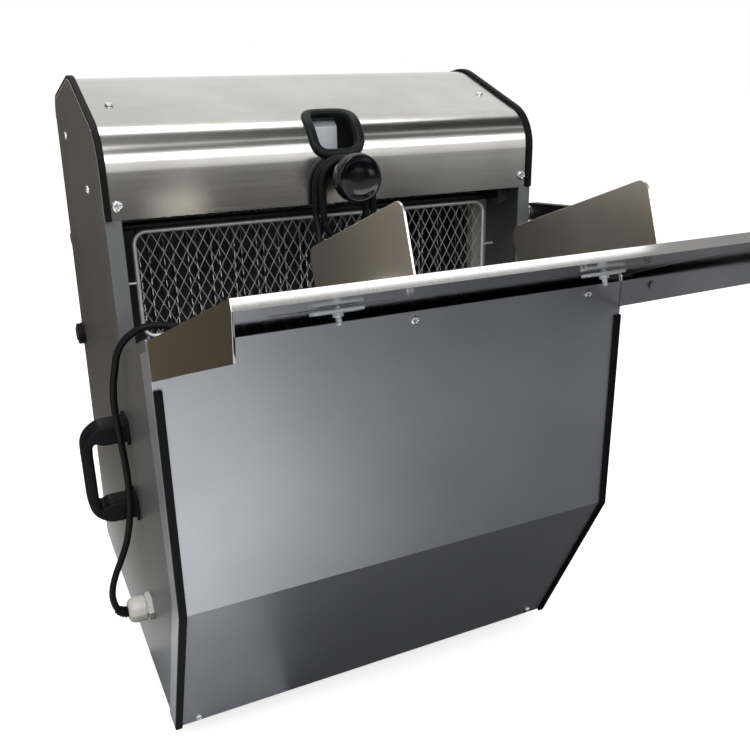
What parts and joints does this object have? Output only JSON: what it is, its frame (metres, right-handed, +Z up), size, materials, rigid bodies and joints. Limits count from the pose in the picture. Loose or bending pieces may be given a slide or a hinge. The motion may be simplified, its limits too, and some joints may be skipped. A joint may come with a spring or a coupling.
{
  "type": "bread slicer machine",
  "caption": "Table-top bread slicer with a sloping feed tray, hinged mesh guard, two reciprocating toothed blade frames, crank and belt drive, hood, carry handles and a looped mains cord.",
  "frame": {"origin": "middle of the part's width and depth, on the surface under the rubber feet", "axes": "+X to the machine's right seen from the feed side, +Y from the feed tray to the outlet, +Z up"},
  "size_m": [0.53, 0.7582, 0.6305],
  "materials": {
    "painted_side": "satin",
    "painted_front": "satin",
    "hood_steel": "brushed",
    "bed_steel": "polished",
    "plated_steel": "plated",
    "blade_steel": "ground",
    "frame_aluminium": "milled",
    "machine_steel": "plain",
    "motor_shell": "painted",
    "rubber_black": "matt",
    "black_plastic": "satin",
    "button_black": "gloss",
    "nylon_white": "plain",
    "nylon_grey": "plain"
  },
  "bodies": {
    "housing": {"side_panel_left": "painted_side", "side_panel_right": "painted_side", "rear_panel": "painted_side", "base_plate": "painted_side", "front_panel": "painted_front", "hood": "hood_steel", "hanger_strap": "hood_steel", "feed_tray": "bed_steel", "outlet_bed": "bed_steel", "cover_screws": "plated_steel", "panel_screws": "plated_steel", "clamp_stud": "plated_steel", "lever_stud": "plated_steel", "bearing_blocks": "machine_steel", "motor_cradle": "machine_steel", "tie_rods": "machine_steel", "guard_brackets": "machine_steel", "flap_brackets": "machine_steel", "motor": "motor_shell", "hood_trim_left": "rubber_black", "hood_trim_right": "rubber_black", "front_trim_left": "rubber_black", "front_trim_right": "rubber_black", "slot_grommet": "rubber_black", "rubber_feet": "rubber_black", "drive_belt": "rubber_black", "mains_cord": "rubber_black", "cord_hank": "rubber_black", "plug_lead": "rubber_black", "mains_plug": "rubber_black", "carry_handle_left": "black_plastic", "carry_handle_right": "black_plastic", "switch_bezel": "black_plastic", "slide_guide_left": "nylon_white", "slide_guide_right": "nylon_white", "cable_gland": "nylon_grey"},
    "guard": {"guard_frame": "plated_steel", "guard_mesh": "plated_steel"},
    "knob": {"clamp_knob": "black_plastic"},
    "guide_left_slider": {"guide_left": "bed_steel", "guide_left_clamp": "plated_steel"},
    "guide_right_slider": {"guide_right": "bed_steel", "guide_right_clamp": "plated_steel"},
    "front_frame": {"blade_frame_front": "frame_aluminium", "blades_front": "blade_steel", "conrod_front": "frame_aluminium"},
    "rear_frame": {"blade_frame_rear": "frame_aluminium", "blades_rear": "blade_steel", "conrod_rear": "frame_aluminium"},
    "crank": {"crankshaft": "machine_steel", "crank_pulley": "frame_aluminium"},
    "motor_rotor": {"motor_pulley": "frame_aluminium"},
    "button": {"switch_button": "button_black"},
    "lever": {"side_lever": "black_plastic"},
    "flap": {"outlet_flap": "painted_side"}
  },
  "joints": [
    {"name": "guard_swing", "type": "hinge", "parent": "housing", "child": "guard", "pos_m": [0, 0.0541, 0.498], "axis": [-1, 0, 0], "range_deg": [0, 40]},
    {"name": "knob_turn", "type": "hinge", "parent": "housing", "child": "knob", "pos_m": [0, -0.0209, 0.538], "axis": [0, -1, 0], "continuous": true},
    {"name": "guide_left_slide", "type": "slide", "parent": "housing", "child": "guide_left_slider", "axis": [1, 0, 0], "range_m": [-0.045, 0.045]},
    {"name": "guide_right_slide", "type": "slide", "parent": "housing", "child": "guide_right_slider", "axis": [1, 0, 0], "range_m": [-0.045, 0.045]},
    {"name": "front_frame_slide", "type": "slide", "parent": "housing", "child": "front_frame", "axis": [0, 0, 1], "range_m": [-0.018, 0.018]},
    {"name": "rear_frame_slide", "type": "slide", "parent": "housing", "child": "rear_frame", "axis": [0, 0, 1], "range_m": [-0.018, 0.018]},
    {"name": "crank_turn", "type": "hinge", "parent": "housing", "child": "crank", "pos_m": [0, 0.1061, 0.113], "axis": [1, 0, 0], "continuous": true},
    {"name": "motor_turn", "type": "hinge", "parent": "housing", "child": "motor_rotor", "pos_m": [0, 0.2791, 0.113], "axis": [1, 0, 0], "continuous": true},
    {"name": "button_push", "type": "slide", "parent": "housing", "child": "button", "axis": [1, 0, 0], "range_m": [0, 0.0025], "stiffness_N_per_m": 600, "springref_m": -0.001},
    {"name": "lever_swing", "type": "hinge", "parent": "housing", "child": "lever", "pos_m": [0.231, 0.0161, 0.481], "axis": [1, 0, 0], "range_deg": [-30, 45]},
    {"name": "flap_swing", "type": "hinge", "parent": "housing", "child": "flap", "pos_m": [0, 0.31838, 0.44776], "axis": [1, 0, 0], "range_deg": [0, 75]}
  ],
  "couplings": [
    {"joint": "rear_frame_slide", "follows": "front_frame_slide", "ratio": -1},
    {"joint": "motor_turn", "follows": "crank_turn", "ratio": 2.5}
  ]
}
